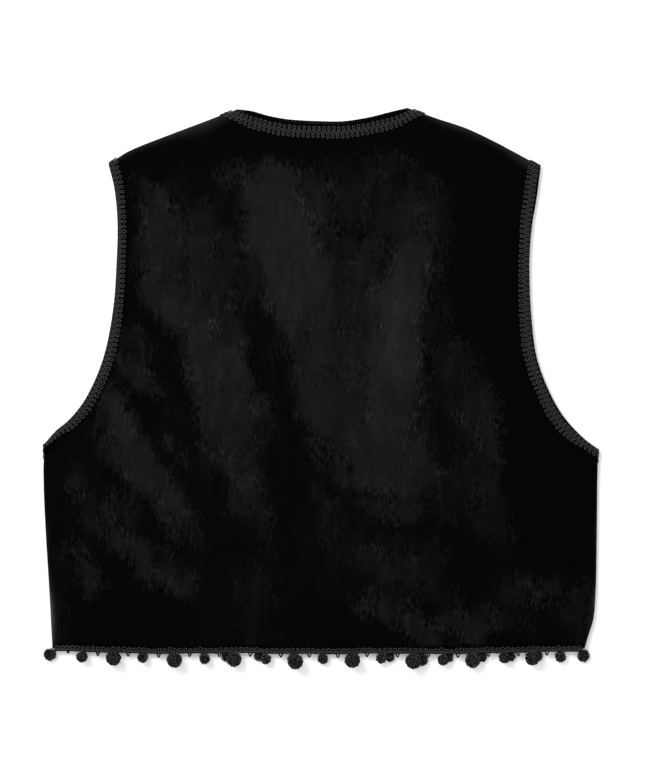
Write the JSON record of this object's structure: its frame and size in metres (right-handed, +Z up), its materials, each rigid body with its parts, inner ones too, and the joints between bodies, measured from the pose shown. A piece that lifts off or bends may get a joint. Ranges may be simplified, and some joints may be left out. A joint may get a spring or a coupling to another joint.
{
  "type": "folk dress vest",
  "caption": "Sleeveless velvet vest laid flat with its back up, edged with scroll braid, with a pompom fringe along its hem.",
  "frame": {"origin": "middle of the garment's outline, on the surface that it lies on", "axes": "+Z up out of the back panel, +Y towards the neck, +X towards the wearer's right side"},
  "size_m": [0.5007, 0.5044, 0.0176],
  "materials": {
    "velvet": "black cotton velvet with a brushed nap",
    "braid": "black scroll gimp braid",
    "pompom": "black yarn pompoms on a narrow gimp"
  },
  "bodies": {
    "root": {"back": "velvet", "front_left": "velvet", "front_right": "velvet", "braid_neck": "braid", "braid_front_left": "braid", "braid_front_right": "braid", "braid_armhole_back_left": "braid", "braid_armhole_back_right": "braid", "braid_armhole_front_left": "braid", "braid_armhole_front_right": "braid", "trim_back": "pompom", "trim_front_left": "pompom", "trim_front_right": "pompom"}
  },
  "joints": []
}
